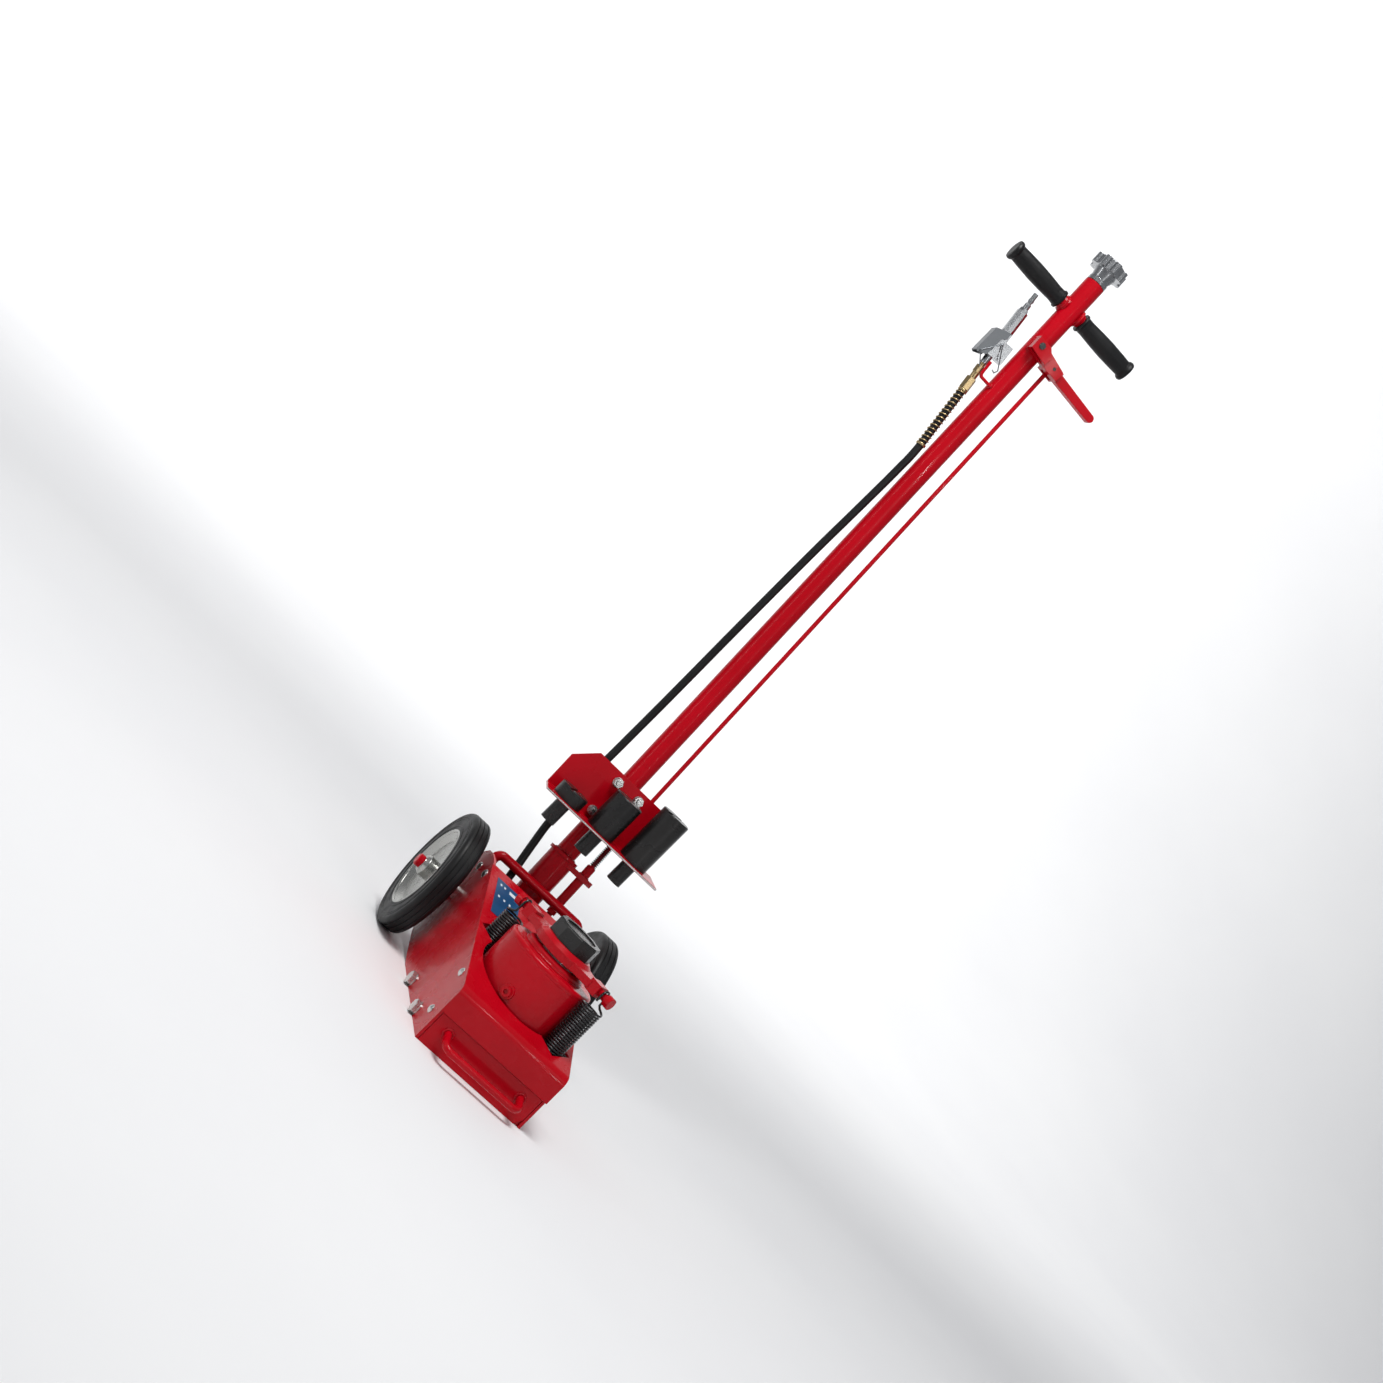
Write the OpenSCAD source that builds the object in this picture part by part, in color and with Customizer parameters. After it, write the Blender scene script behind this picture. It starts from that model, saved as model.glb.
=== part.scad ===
// Air-hydraulic truck jack on two wheels, with a long lockable handle, a remote air valve
// and three saddle extensions in a rack. Millimetres, Z up, X to the right, Y to the rear.
// The origin is on the floor, under the ram's axis.

/* [Chassis] */
// Half of the width over the side panels
half_w = 91; // [88:1:96]
// Thickness of a side panel
panel_t = 4; // [3:1:5]
// Distance from the ram's axis to the front face
front = 110; // [106:1:116]
// Thickness of the base plate
base_t = 20; // [16:1:24]
// Thickness of the folded top cover
cover_t = 3; // [2:0.5:3]
// Height of the lower edge of the cover's front flange
flange_z = 47; // [44:1:50]
// Angle at which the cover rises to the rear
slope = 15.1; // [15:0.1:15.4]
// Outer radius of the bend between the front flange and the slope
bend_r = 14; // [10:1:16]

/* [Ram] */
// Outer radius of the oil tank around the cylinder
tank_r = 69.6; // [66:0.2:70]
// Height of the top of the tank
tank_top = 168; // [164:1:170]
// Radius of the ram
ram_r = 27; // [24:1:28]
// Radius of the cylinder bore
bore_r = 31; // [30:0.5:32]
// Distance from the ram's axis to a return spring
spring_off = 87; // [87:1:88]
// Angle of the cross bar, clockwise from the X axis
bar_turn = 45; // [42:1:46]
// Outer radius of a return spring
spring_r = 16.2; // [15:0.2:16.4]
// Height of the saddle's top face
saddle_top = 219.5; // [216:0.5:222]

/* [Wheels] */
// Radius of a wheel
wheel_r = 100; // [98:1:102]
// Width of a tyre
tyre_w = 31; // [28:1:32]
// Distance from the middle to the outer face of a tyre
tyre_face = 142; // [142:1:146]
// Radius of the axle
axle_r = 10; // [9:0.5:10]
// Distance from the ram's axis back to the axle
axle_y = 280; // [280:1:282]

/* [Handle] */
// Angle at which the handle leans back when it is locked upright
lean = 7.75; // [7.5:0.25:8]
// Outer radius of the handle tube
tube_r = 16.2; // [15.5:0.1:16.4]
// Length from the floor to the tube's top, measured along the handle
tube_top = 1374; // [1350:1:1400]
// Length from the floor to the T-bar, measured along the handle
tee_at = 1321; // [1300:1:1330]
// Half of the width over the T-bar's grips
tee_half = 127; // [120:1:130]
// Length from the floor to the top of the handle socket
socket_top = 236; // [232:1:240]

/* [Tool rack] */
// Height of the rack's shelf
shelf_z = 300; // [290:1:304]
// Distance between two saddle extensions
adapter_gap = 65.5; // [60:0.5:68]
// Radius of a saddle extension
adapter_r = 23.5; // [22:0.5:24]
// Height of the short saddle extension above the shelf
short_h = 20; // [18:1:24]
// Height of the medium saddle extension above the shelf
medium_h = 62; // [58:1:66]
// Height of the tall saddle extension above the shelf
tall_h = 90; // [86:1:94]

/* [Hidden] */
$fn = 64;

red = "firebrick";
steel = "silver";
dark = "dimgray";
black = "#222222";
brass = "darkgoldenrod";

fit = 0.05;          // gap between a fixed pin and its hole
run = 0.08;          // gap between a turning shaft and its hole
free = 0.3;          // gap between two bodies that slide past each other

inner_w = half_w - panel_t;
slope_from = [-98.5, 90];
cover_end = 219;
axle_z = wheel_r;
foot_y = 290;        // where the handle's axis would meet the floor

// Height of the cover's outer face at a distance y from the ram's axis
function slope_z(y) = slope_from.y + (y - slope_from.x) * tan(slope);
bend_y = bend_r - front;
bend_z = slope_from.y + (sin(slope) * (bend_y - slope_from.x) - bend_r) / cos(slope);
// The cover's line in side view, at a depth under its outer face
function cover_line(depth) = concat(
    [[depth - front, flange_z]],
    [for (i = [0 : 10]) let (a = 180 - i * (90 - slope) / 10)
        [bend_y + (bend_r - depth) * cos(a), bend_z + (bend_r - depth) * sin(a)]],
    [[cover_end, slope_z(cover_end) - depth / cos(slope)]]);
function backward(list) = [for (i = [len(list) - 1 : -1 : 0]) list[i]];

spring_x = spring_off * cos(bar_turn);
spring_y = -spring_off * sin(bar_turn);
bar_z = 188;         // height of the cross bar's middle
coil_low = 50;
coil_top = 171;

screw_places = [[-71, 32], [-51, 88], [214, 158], [264, 153]];
bolt_places = [[-25, 10.5], [86, 10.5]];

// The release and lock gear, in the handle's own frame
rod_x = 41;           // the lock rod's place beside the handle's axis, at the floor
rod_tilt = 0.3;       // how far the lock rod leans in towards the handle
rod_off = 9;         // how far the lock rod lies in front of the handle's axis
lever_pivot = [-3.5, 1244.5];
lever_pin = [34.5, 1235.5];
lever_end = [127, 1227];
lever_off = 24;
lock_r = 60;         // radius of the lock quadrant
lock_steps = [0, 37, 75];
rod_low = 157.5;
guide_low = 166;
guide_top = 254;

// The air hose, from its fitting on the air motor to its brass fitting under the valve
hose_r = 6;
hose_route = [[-41, 262, 114], [-41, 275, 134], [-42, 289, 157], [-44, 302, 189],
    [-47, 312, 220], [-50, 321, 254], [-51, 329, 300], [-51, 336, 350], [-49, 343, 400],
    [-45, 358, 500], [-41, 377, 640], [-36, 397, 785], [-31, 411, 890], [-28, 421, 960],
    [-28, 428, 1011], [-38, 442, 1114]];
guard_low = hose_route[14];
valve_foot = hose_route[15];

// ---------- shared shapes ----------

// A side view, drawn as [y, z], given a width along X from x0
module from_side(x0, width) translate([x0, 0, 0]) rotate([90, 0, 90]) linear_extrude(width) children();

// Z along a direction, from a point
module aim(at, d) translate(at) rotate([0, acos(d.z / norm(d)), atan2(d.y, d.x)]) children();

module rod(a, b, r) aim(a, b - a) cylinder(r = r, h = norm(b - a));

module ring(outer, inner, h) difference() {
    cylinder(r = outer, h = h);
    translate([0, 0, -1]) cylinder(r = inner, h = h + 2);
}

module hexagon(across, h) cylinder(d = across / cos(30), h = h, $fn = 6);

module both_sides() {
    children();
    mirror([1, 0, 0]) children();
}

// The handle's own frame: Z runs up its axis from the floor, Y points to the rear
module on_handle() translate([0, foot_y, 0]) rotate([-lean, 0, 0]) children();

// In the handle's frame, up the lock rod's axis by z
module beside_handle(z) translate([rod_x, -rod_off, 0]) rotate([0, -rod_tilt, 0])
    translate([0, 0, z]) children();

// The air valve's frame: Z runs up its axis from the top of the hose, X to the right
module on_valve() {
    up = (valve_foot - guard_low) / norm(valve_foot - guard_low);
    translate(valve_foot) rotate([-asin(up.y), atan2(up.x, up.z), 0]) children();
}

// The cover's outer face: Y runs up the slope and Z stands out of it
module on_slope() translate([0, slope_from.x, slope_from.y]) rotate([slope, 0, 0]) children();

// A wire bent along points, with round corners
module wire(points, r) {
    for (i = [0 : len(points) - 2]) rod(points[i], points[i + 1], r);
    for (i = [1 : len(points) - 2]) translate(points[i]) sphere(r = 1.02 * r);
}

// ---------- chassis ----------

module base_plate() color(red) difference() {
    translate([-inner_w, 4 - front + cover_t, 0])
        cube([2 * inner_w, 190 + front - 4 - cover_t, base_t]);
    both_sides() for (b = bolt_places)
        translate([inner_w - 25, b.x, b.y]) rotate([0, 90, 0]) cylinder(r = 6 + fit, h = 30);
}

module panel_outline() polygon(concat(
    [[cover_t - front, 0], [172, 0], [214, 7], [276, 20], [304, 32], [318, 52], [322, 80],
    [322, 130], [316, 152], [304, 167], [286, 176], [262, 179], [238, 178.5],
    [cover_end + free, slope_z(cover_end)]],
    backward(cover_line(cover_t)),
    [[cover_t - front, flange_z]]));

module side_panel() color(red) difference() {
    from_side(inner_w, panel_t) panel_outline();
    for (b = bolt_places)
        translate([0, b.x, b.y]) rotate([0, 90, 0]) cylinder(r = 6 + fit, h = 100);
    for (s = screw_places)
        translate([0, s.x, s.y]) rotate([0, 90, 0]) cylinder(r = 3 + fit, h = 100);
    translate([0, axle_y, axle_z]) rotate([0, 90, 0]) cylinder(r = axle_r + fit, h = 100);
}

module side_panel_right() side_panel();
module side_panel_left() mirror([1, 0, 0]) side_panel();

module top_cover() color(red) difference() {
    from_side(-half_w - 1, 2 * half_w + 2)
        polygon(concat(cover_line(0), backward(cover_line(cover_t))));
    linear_extrude(300) {
        circle(r = tank_r + 6);
        rotate(-bar_turn) square([2 * spring_off + 33.6, 2 * spring_r + 7], center = true);
    }
}

module front_plate() color(red) difference() {
    translate([-inner_w + 0.8, cover_t - front, 0])
        cube([2 * inner_w - 1.6, 4, flange_z - 0.8]);
    translate([inner_w - 8, -front, -1]) rotate([0, 30, 0]) cube([20, 20, 20]);
}

// A round bar bent to a handle, welded to the front plate
module carry_handle() color(red) {
    reach = 20;
    bend = 12;
    bar_r = 5;
    half = 63;
    difference() {
        translate([0, cover_t - front, 30]) rotate([16, 0, 0]) both_sides() {
            translate([half, 4, 0]) rotate([90, 0, 0]) cylinder(r = bar_r, h = reach + 4);
            translate([half - bend, -reach, 0]) rotate([0, 0, -90])
                rotate_extrude(angle = 90) translate([bend, 0]) circle(r = bar_r);
            translate([-0.01, -reach - bend, 0]) rotate([0, 90, 0])
                cylinder(r = bar_r, h = half - bend + 0.01);
        }
        translate([-100, cover_t - front, 0]) cube([200, 20, 60]);
    }
}

// A round bar over the rear opening, with its legs inside the side panels
module guard_bar() color(red) {
    bar_r = 7;
    bend = 10;
    leg_x = inner_w - bar_r;
    top = 183;
    translate([0, axle_y, 0]) both_sides() {
        translate([-0.01, 0, top]) rotate([0, 90, 0]) cylinder(r = bar_r, h = leg_x - bend + 0.01);
        translate([leg_x - bend, 0, top - bend]) rotate([90, 0, 0])
            rotate_extrude(angle = 90) translate([bend, 0]) circle(r = bar_r);
        translate([leg_x, 0, 146]) cylinder(r = bar_r, h = top - bend - 146);
    }
}

module axle() color(steel) translate([0, axle_y, axle_z]) rotate([0, 90, 0]) {
    translate([0, 0, -149.5]) cylinder(r = axle_r, h = 299);
    translate([0, 0, -156]) cylinder(r = 7, h = 312);
    for (x = [half_w + 0.1, -111]) translate([0, 0, x])
        cylinder(r = 15, h = 111 - half_w - 0.1);
}

module axle_caps() color(red) both_sides()
    translate([149.8, axle_y, axle_z]) rotate([0, 90, 0]) difference() {
        union() {
            cylinder(r = 9.5, h = 7);
            translate([0, 0, 7]) cylinder(r1 = 9.5, r2 = 7.5, h = 1.6);
        }
        translate([0, 0, -1]) cylinder(r = 7 + fit, h = 7.4);
    }

// A sector on the axle, with a notch for each place where the handle locks
module lock_quadrant() color(red) difference() {
    translate([rod_x - 5, axle_y, axle_z]) rotate([90, 0, 90]) {
        cylinder(r = 18, h = 8);
        linear_extrude(8)
            polygon(concat([[0, 0]], [for (a = [90 : -9 : -27]) lock_r * [cos(a), sin(a)]]));
    }
    translate([0, axle_y, axle_z]) rotate([0, 90, 0]) cylinder(r = axle_r + fit, h = 60);
    for (turn = lock_steps) translate([0, axle_y, axle_z]) rotate([-turn, 0, 0])
        translate([0, -axle_y, -axle_z]) on_handle()
            translate([rod_x - 8, -rod_off - 5, rod_low - 11]) cube([14, 10, 30]);
}

module base_bolts() color(steel) both_sides() for (b = bolt_places)
    translate([half_w, b.x, b.y]) rotate([0, 90, 0]) {
        translate([0, 0, -28]) cylinder(r = 6, h = 28.5);
        cylinder(r = 10.3, h = 1.5);
        translate([0, 0, 1.5]) hexagon(18, 6.5);
    }

module panel_screws() color(steel) both_sides() for (s = screw_places)
    translate([half_w, s.x, s.y]) rotate([0, 90, 0]) {
        translate([0, 0, -panel_t]) cylinder(r = 3, h = panel_t + 1);
        intersection() {
            translate([0, 0, -4]) sphere(r = 8);
            cylinder(r = 6.5, h = 6);
        }
    }

module label_plate() color("navy") on_slope() translate([-79, 208, 0]) cube([44, 97, 0.5]);

// ---------- cylinder, ram and springs ----------

plug_turn = -119;
plug_z = 110;

// Tank wall, floor and inner cylinder, turned in one
module cylinder_body() color(red) difference() {
    union() {
        rotate_extrude() polygon([[0, base_t], [tank_r, base_t], [tank_r, tank_top - 8],
            [tank_r - 4.5, tank_top - 8], [tank_r - 4.5, base_t + 8], [44, base_t + 8],
            [44, tank_top - 8], [bore_r, tank_top - 8], [bore_r, base_t + 6], [0, base_t + 6]]);
        rotate(plug_turn) translate([tank_r - 4, 0, plug_z]) rotate([0, 90, 0])
            cylinder(r = 10, h = 8);
    }
    rotate(plug_turn) translate([tank_r - 8, 0, plug_z]) rotate([0, 90, 0])
        cylinder(r = 5 + fit, h = 20);
}

module tank_cap() color(red) rotate_extrude() {
    translate([tank_r - 5, tank_top - 5]) intersection() {
        circle(r = 5);
        square(5);
    }
    polygon([[44.2, tank_top - 8], [tank_r, tank_top - 8], [tank_r, tank_top - 5],
        [tank_r - 5, tank_top - 5], [tank_r - 5, tank_top], [44.2, tank_top]]);
}

module gland_nut() color(red) rotate_extrude()
    polygon([[ram_r + run, tank_top - 8], [44, tank_top - 8], [44, tank_top], [47, tank_top],
        [46, tank_top + 6], [40, tank_top + 9], [ram_r + run, tank_top + 9]]);

module filler_plug() color(red) rotate(plug_turn) translate([tank_r + 4, 0, plug_z])
    rotate([0, 90, 0]) difference() {
        union() {
            translate([0, 0, -8]) cylinder(r = 5, h = 8);
            cylinder(r = 7, h = 4);
        }
        translate([0, 0, 1]) hexagon(6, 4);
    }

module at_springs() {
    translate([spring_x, spring_y, 0]) rotate(-bar_turn) children();
    translate([-spring_x, -spring_y, 0]) rotate(180 - bar_turn) children();
}

module spring_anchors() color(steel) at_springs() {
    translate([0, 0, base_t]) cylinder(r = 6, h = coil_low - base_t);
    translate([0, 0, coil_low]) cylinder(r = spring_r - 4.2, h = 15);
}

// The closed coil, with the hook that hangs from the cross bar's neck
module return_spring() {
    wire_r = 1.8;
    hook = 8;
    translate([0, 0, coil_low]) ring(spring_r, spring_r - 2 * wire_r, coil_top - coil_low);
    for (y = [-hook, hook]) translate([0, y, coil_top - 1])
        cylinder(r = wire_r, h = bar_z - coil_top + 1);
    translate([0, 0, bar_z]) rotate([90, 0, 90])
        rotate_extrude(angle = 180) translate([hook, 0]) circle(r = wire_r);
    translate([0, wire_r - spring_r, coil_top - 2]) rotate([-90, 0, 0])
        cylinder(r = wire_r, h = 2 * (spring_r - wire_r));
}

module return_spring_right() color(black)
    translate([spring_x, spring_y, 0]) rotate(-bar_turn) return_spring();
module return_spring_left() color(black)
    translate([-spring_x, -spring_y, 0]) rotate(180 - bar_turn) return_spring();

piston_low = base_t + 6.5;

module ram_piston() color(steel) {
    translate([0, 0, piston_low]) cylinder(r = bore_r - run, h = 8);
    translate([0, 0, piston_low + 8]) cylinder(r = ram_r, h = bar_z - 16 - piston_low);
    translate([0, 0, bar_z - 8]) cylinder(r = 18, h = 25);
}

// The hub on the ram, two tapered arms, and a neck and button at each end for a spring's hook
module cross_bar() color(red) difference() {
    union() {
        translate([0, 0, bar_z - 8]) cylinder(r = 44, h = 11);
        translate([0, 0, bar_z + 3]) cylinder(r1 = 44, r2 = 37, h = 6);
        rotate(-bar_turn) for (turn = [0, 180]) rotate(turn) {
            translate([0, 0, bar_z - 7]) linear_extrude(11)
                polygon([[0, -36], [34, -26], [66, -12], [66, 12], [34, 26], [0, 36]]);
            translate([62, -11, bar_z - 9]) cube([18, 22, 17]);
            translate([78, 0, bar_z]) rotate([0, 90, 0]) cylinder(r = 5.5, h = 16);
            translate([93, 0, bar_z]) rotate([0, 90, 0]) cylinder(r = 8.5, h = 9);
        }
    }
    translate([0, 0, bar_z - 20]) cylinder(r = 18 + fit, h = 40);
}

module saddle() color(black) difference() {
    translate([0, 0, bar_z + 9]) {
        rotate(-3) cylinder(r = 35, h = 20.5, $fn = 8);
        translate([0, 0, 20.5]) rotate(-3) linear_extrude(saddle_top - bar_z - 29.5)
            circle(r = 34.2, $fn = 8);
    }
    translate([0, 0, bar_z]) cylinder(r = 18 + fit, h = 17.1);
    translate([0, 0, saddle_top - 2]) cylinder(r = 25, h = 5);
}

// ---------- pump and air motor ----------

motor_x = -20;
motor_z = 58;
motor_r = 34;
pump_y = 73;
motor_y = 134;
motor_end = 232;

module pump_block() color(dark) difference() {
    translate([-42, pump_y, base_t]) cube([84, motor_y - pump_y, 58]);
    translate([motor_x, motor_y - 46, motor_z]) rotate([-90, 0, 0])
        cylinder(r = 6 + run, h = 60);
    translate([28, motor_y - 24, 52]) rotate([-90, 0, 0]) cylinder(r = 5 + run, h = 40);
}

module air_motor() color(dark) translate([motor_x, motor_y, motor_z]) rotate([-90, 0, 0])
    difference() {
        cylinder(r = motor_r, h = motor_end - motor_y);
        translate([0, 0, 7]) cylinder(r = 28, h = motor_end - motor_y - 14);
        translate([0, 0, -1]) cylinder(r = 6 + run, h = 20);
    }

module air_piston() color(steel) translate([motor_x, 0, motor_z]) rotate([-90, 0, 0]) {
    translate([0, 0, 110]) cylinder(r = 6, h = 90);
    translate([0, 0, 199]) cylinder(r = 28 - free, h = 13);
}

module release_spindle() color(steel) translate([28, motor_y - 23.5, 52]) rotate([-90, 0, 0]) {
    cylinder(r = 5, h = 50);
    translate([0, 0, 40]) cylinder(r = 9, h = 10);
}

module inlet_fitting() color(brass) {
    d = hose_route[1] - hose_route[0];
    difference() {
        aim(hose_route[0], -d) {
            translate([0, 0, 0.1]) cylinder(r = 8, h = 20);
            translate([0, 0, 20]) hexagon(15, 8);
            translate([0, 0, 28]) cylinder(r = 5.5, h = 60);
        }
        translate([-100, motor_end - 100, 0]) cube([200, 100, 200]);
    }
}

// ---------- wheels ----------

tyre_in = tyre_face - tyre_w;
rim_r = 66;

// Shapes turned about the axle, drawn as [radius, distance along X]
module on_axle(side) translate([0, axle_y, axle_z]) rotate([0, 90 * side, 0])
    rotate_extrude($fn = 96) children();

module tyre(side) color(black) on_axle(side) difference() {
    shoulder = 7;
    union() {
        translate([rim_r + fit, tyre_in]) square([wheel_r - rim_r - shoulder - fit, tyre_w]);
        translate([rim_r + fit, tyre_in + shoulder])
            square([wheel_r - rim_r - fit, tyre_w - 2 * shoulder]);
        for (x = [tyre_in + shoulder, tyre_face - shoulder])
            translate([wheel_r - shoulder, x]) circle(r = shoulder);
    }
    for (i = [-1 : 1]) translate([wheel_r - 1.6, (tyre_in + tyre_face) / 2 + i * 7.5 - 0.9])
        square([3, 1.8]);
}

// A pressed dish with a rolled rim and a boss
module hub(side) color(steel) on_axle(side) {
    bore = axle_r + run;
    polygon([[bore, tyre_in + 0.4], [16, tyre_in + 0.4], [16, tyre_face - 13.5],
        [30, tyre_face - 13.5], [52, tyre_face - 12], [62, tyre_face - 5.7],
        [62, tyre_in + 3], [rim_r, tyre_in + 3], [rim_r, tyre_face - 2],
        [63, tyre_face - 2], [53, tyre_face - 8.5], [30, tyre_face - 10],
        [16, tyre_face - 10], [16, tyre_face + 2], [13, tyre_face + 7],
        [bore, tyre_face + 7]]);
}

module tyre_left() tyre(-1);
module tyre_right() tyre(1);
module hub_left() hub(-1);
module hub_right() hub(1);

// ---------- handle ----------

// The axle's place in the handle's own frame, as [y, z]
axle_in_handle = [(axle_y - foot_y) * cos(lean) - axle_z * sin(lean),
    (axle_y - foot_y) * sin(lean) + axle_z * cos(lean)];
block_low = 118;
socket_low = 130;

// The socket tube with its flange, the ear for the lock guide, and a fork on the axle
module handle_socket() color(red) on_handle() difference() {
    union() {
        translate([0, 0, socket_low]) cylinder(r = 21.3, h = socket_top - socket_low);
        translate([0, 0, socket_top]) cylinder(r = 24.5, h = 5);
        translate([0, -rod_off - 10, socket_top - 8]) cube([rod_x + 14, 20, 8]);
        translate([-29, -36, block_low]) cube([58, 56, socket_low - block_low]);
        for (x = [-29, 19]) translate([x, 0, 0]) {
            translate([0, axle_in_handle.x, axle_in_handle.y]) rotate([0, 90, 0])
                cylinder(r = 19, h = 10);
            translate([0, axle_in_handle.x - 12.6, axle_in_handle.y])
                cube([10, 34, block_low - axle_in_handle.y + 1]);
        }
    }
    translate([0, 0, socket_low]) cylinder(r = tube_r + fit, h = 200);
    beside_handle(200) cylinder(r = 7 + fit, h = 60);
    translate([-50, axle_in_handle.x, axle_in_handle.y]) rotate([0, 90, 0])
        cylinder(r = axle_r + run, h = 100);
}

module handle_tube() color(red) on_handle() difference() {
    translate([0, 0, socket_low]) cylinder(r = tube_r, h = tube_top - socket_low);
    translate([0, 0, socket_low - 1]) cylinder(r = tube_r - 3, h = tube_top);
}

// Two short tubes welded to the sides of the handle tube, each in a ring of weld
module handlebars() color(red) on_handle() difference() {
    both_sides() translate([0, 0, tee_at]) rotate([0, 90, 0]) {
        cylinder(r = 9.5, h = tee_half - 5);
        translate([0, 0, tube_r - 3]) cylinder(r1 = 14, r2 = 11, h = 8);
    }
    translate([0, 0, tee_at - 40]) cylinder(r = tube_r, h = 80);
}

module grips() color(black) on_handle() both_sides()
    translate([0, 0, tee_at]) rotate([0, 90, 0]) difference() {
        rotate_extrude() polygon(concat([[0, 23]], [for (p = [[15, 23], [15.5, 26], [13.5, 28],
            [13, 36], [14.2, 60], [14.6, 80], [14, 104], [13.4, 117], [15.5, 119.5],
            [16.5, 123], [15.5, 126]]) p], [[12, tee_half], [0, tee_half]]));
        translate([0, 0, -1]) cylinder(r = 9.5 + fit, h = tee_half - 4 + fit);
    }

module rod_bush() color(dark) on_handle() translate([0, 0, tube_top - 24])
    ring(tube_r - 3 - fit, 4 + run, 24);

module release_rod() color(steel) on_handle() translate([0, 0, socket_low + 6])
    cylinder(r = 4, h = tube_top + 1 - socket_low - 6);

module release_knob() color(steel) on_handle() translate([0, 0, tube_top + 1]) {
    cylinder(r = 16, h = 7);
    translate([0, 0, 7]) cylinder(r1 = 14.5, r2 = 18, h = 15);
    translate([0, 0, 22]) linear_extrude(17) {
        circle(r = 24);
        for (i = [0 : 7]) rotate(45 * i) translate([23.2, 0]) circle(r = 5.8);
    }
    translate([0, 0, 39]) cylinder(r1 = 24, r2 = 20, h = 2.5);
}

// ---------- tool rack ----------

rack_y = tube_r;                 // the rack plate lies against the front of the tube
plate_low = 297;
plate_top = 379;
bolt_rows = [312, 365];
bolt_x = tube_r + 4.1;
shelf_front = 245;               // distance of the shelf's front edge from the ram's axis
shelf_t = 3;
// Where the plate's front face meets the shelf
shelf_back = foot_y + shelf_z * tan(lean) - (rack_y + 3) / cos(lean);
adapter_y = foot_y + shelf_z * tan(lean) - 51;

module at_adapters() for (i = [-1 : 1])
    translate([i * adapter_gap, adapter_y, shelf_z]) children();

// One bent sheet: a plate against the tube, and a level shelf with three holes
module tool_rack() color(red) difference() {
    union() {
        on_handle() translate([0, -rack_y, 0]) rotate([90, 0, 0]) linear_extrude(3)
            polygon([[-97, plate_low - 6], [97, plate_low - 6], [97, 350], [68, plate_top],
                [-67, plate_top], [-97, 350]]);
        translate([0, 0, shelf_z - shelf_t]) linear_extrude(shelf_t) polygon([
            [-97, shelf_back + 3], [-107, shelf_front], [108, shelf_front],
            [110, shelf_back + 3]]);
    }
    at_adapters() translate([0, 0, -20]) cylinder(r = 12.1, h = 30);
    on_handle() for (x = [-bolt_x, bolt_x], z = bolt_rows) translate([x, 0, z])
        rotate([90, 0, 0]) cylinder(r = 4 + fit, h = 40);
    on_handle() translate([0, 0, 200]) cylinder(r = tube_r, h = 300);
    translate([-150, 150, shelf_z - shelf_t - 20]) cube([300, 250, 20]);
}

module u_bolts() color(steel) on_handle() for (z = bolt_rows) translate([0, 0, z]) {
    for (x = [-bolt_x, bolt_x]) translate([x, 0, 0]) rotate([90, 0, 0])
        cylinder(r = 4, h = rack_y + 3 + 12);
    rotate_extrude(angle = 180) translate([bolt_x, 0]) circle(r = 4);
}

module u_bolt_nuts() color(steel) on_handle() for (x = [-bolt_x, bolt_x], z = bolt_rows)
    translate([x, -rack_y - 3, z]) rotate([90, 0, 0]) {
        ring(7.6, 4 + fit, 1.6);
        translate([0, 0, 1.6]) difference() {
            hexagon(13, 6.5);
            translate([0, 0, -1]) cylinder(r = 4 + fit, h = 10);
        }
    }

// A saddle extension: a turned block with a slotted top on a spigot
module adapter(h, turn) color(black) difference() {
    union() {
        translate([0, 0, 0.1]) cylinder(r = adapter_r, h = h - 1.6);
        translate([0, 0, h - 1.5]) cylinder(r1 = adapter_r, r2 = adapter_r - 1.5, h = 1.5);
        translate([0, 0, -38]) cylinder(r = 12.1 - free - 0.1, h = 39);
    }
    rotate(turn) translate([-3, -adapter_r - 1, h - 2.5]) cube([6, 2 * adapter_r + 2, 5]);
}

module adapter_short() translate([-adapter_gap, adapter_y, shelf_z]) adapter(short_h, -27);
module adapter_medium() translate([0, adapter_y, shelf_z]) adapter(medium_h, 75);
module adapter_tall() translate([adapter_gap, adapter_y, shelf_z]) adapter(tall_h, -45);

// ---------- handle lock ----------

module on_lock_rod(z) on_handle() beside_handle(z) children();

module lock_guide() color(red) on_lock_rod(guide_low) difference() {
    union() {
        cylinder(r = 7, h = guide_top - guide_low - 2);
        translate([0, 0, guide_top - guide_low - 2]) cylinder(r1 = 7, r2 = 6, h = 2);
    }
    translate([0, 0, -1]) cylinder(r = 4.5 + free, h = 200);
}

module lock_spring() color(dark) on_lock_rod(guide_top + 0.3) ring(5.6, 4.2, 47);

// The lock pin, the long pull rod with its collar, and the eye at its top
module lock_rod() color(red) difference() {
    on_lock_rod(0) {
        translate([0, 0, rod_low]) cylinder(r = 4.5, h = 84);
        translate([0, 0, rod_low + 84]) cylinder(r = 3.3, h = lever_pin.y - 6 - rod_low - 84);
        translate([0, 0, guide_top + 48]) cylinder(r = 6, h = 5);
        translate([0, 4, lever_pin.y]) rotate([90, 0, 0]) cylinder(r = 8, h = 8);
    }
    on_lock_rod(lever_pin.y) translate([0, 10, 0]) rotate([90, 0, 0]) cylinder(r = 5, h = 20);
}

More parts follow.
